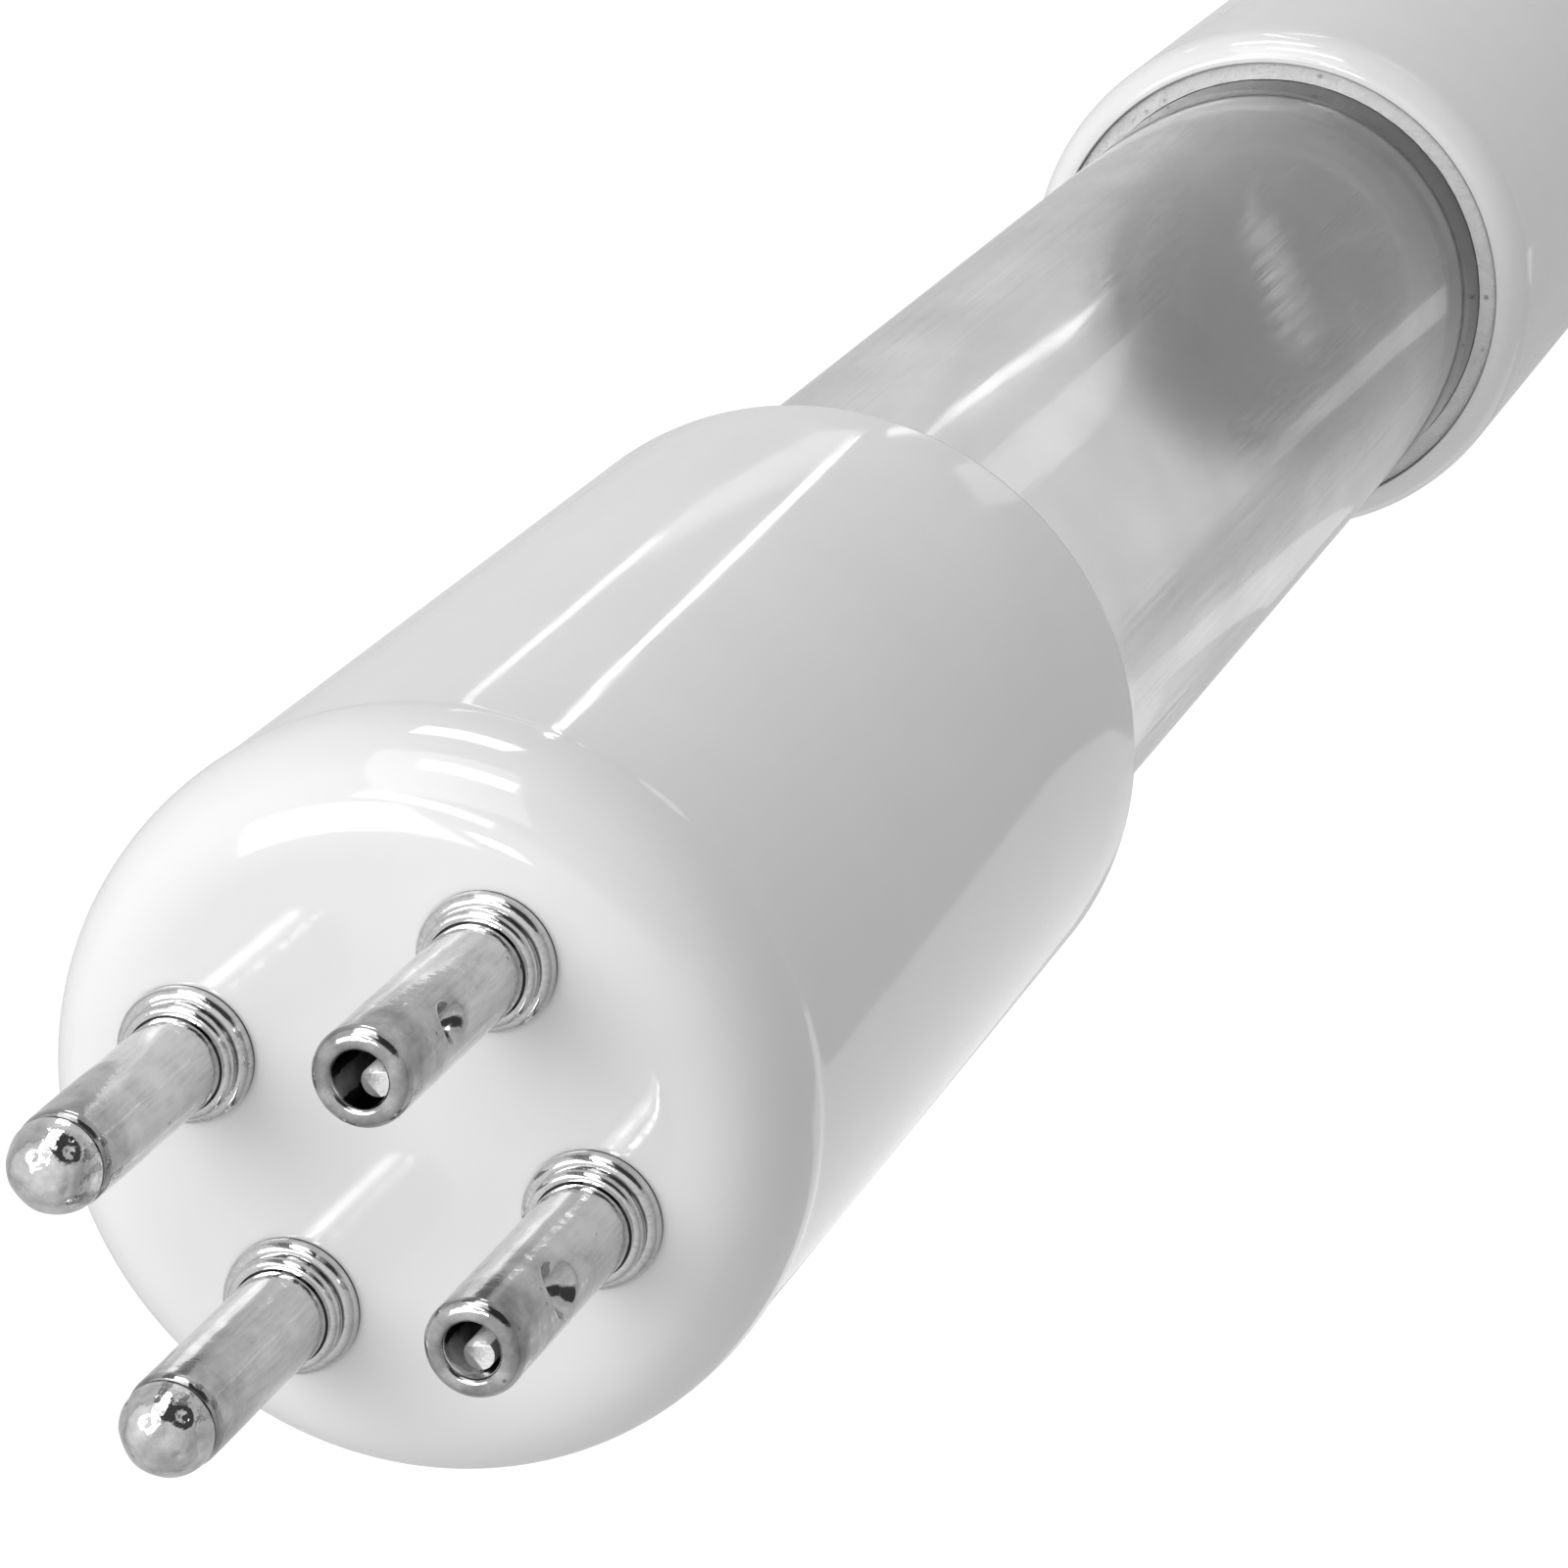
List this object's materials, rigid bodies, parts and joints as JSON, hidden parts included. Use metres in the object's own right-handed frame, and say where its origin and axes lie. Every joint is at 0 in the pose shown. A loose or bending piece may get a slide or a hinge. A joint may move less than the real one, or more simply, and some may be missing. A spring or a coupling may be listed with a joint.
{
  "type": "germicidal uv bulb",
  "caption": "Single-ended germicidal lamp: a clear quartz tube between a glazed ceramic base with hollow contact pins and a blank ceramic end cap.",
  "frame": {"origin": "centre of the blank cap's flat end face, on which the lamp can stand", "axes": "+Z along the tube towards the contact pins, +X along the long side of the pin rectangle, towards the open pins"},
  "size_m": [0.0182, 0.0182, 0.1333],
  "materials": {
    "white_glaze": "very glossy white glaze",
    "quartz": "clear fused quartz",
    "pin_plating": "bright nickel plating",
    "solder": "bright solder",
    "wire_metal": "plain nickel wire",
    "sleeve_white": "white insulating sleeve",
    "cement": "matte basing cement",
    "guard_metal": "dull nickel sheet",
    "molybdenum": "bright drawn wire and foil",
    "filament_coating": "pale oxide coating"
  },
  "bodies": {
    "root": {"base_cement": "cement", "cap_cement": "cement", "ceramic_base": "white_glaze", "contact_pin_1": "pin_plating", "contact_pin_2": "pin_plating", "contact_pin_3": "pin_plating", "contact_pin_4": "pin_plating", "end_cap": "white_glaze", "far_filament": "filament_coating", "far_guard_ring": "guard_metal", "far_guard_stem": "guard_metal", "far_inner_lead_1": "molybdenum", "far_inner_lead_2": "molybdenum", "far_seal_foil_1": "molybdenum", "far_seal_foil_2": "molybdenum", "lead_wire_2": "wire_metal", "lead_wire_4": "wire_metal", "near_filament": "filament_coating", "near_guard_ring": "guard_metal", "near_guard_stem": "guard_metal", "near_inner_lead_1": "molybdenum", "near_inner_lead_2": "molybdenum", "near_seal_foil_1": "molybdenum", "near_seal_foil_2": "molybdenum", "quartz_tube": "quartz", "return_sleeve_1": "sleeve_white", "return_sleeve_3": "sleeve_white", "return_wire_1": "wire_metal", "return_wire_3": "wire_metal", "solder_tip_1": "solder", "solder_tip_3": "solder"}
  },
  "joints": []
}
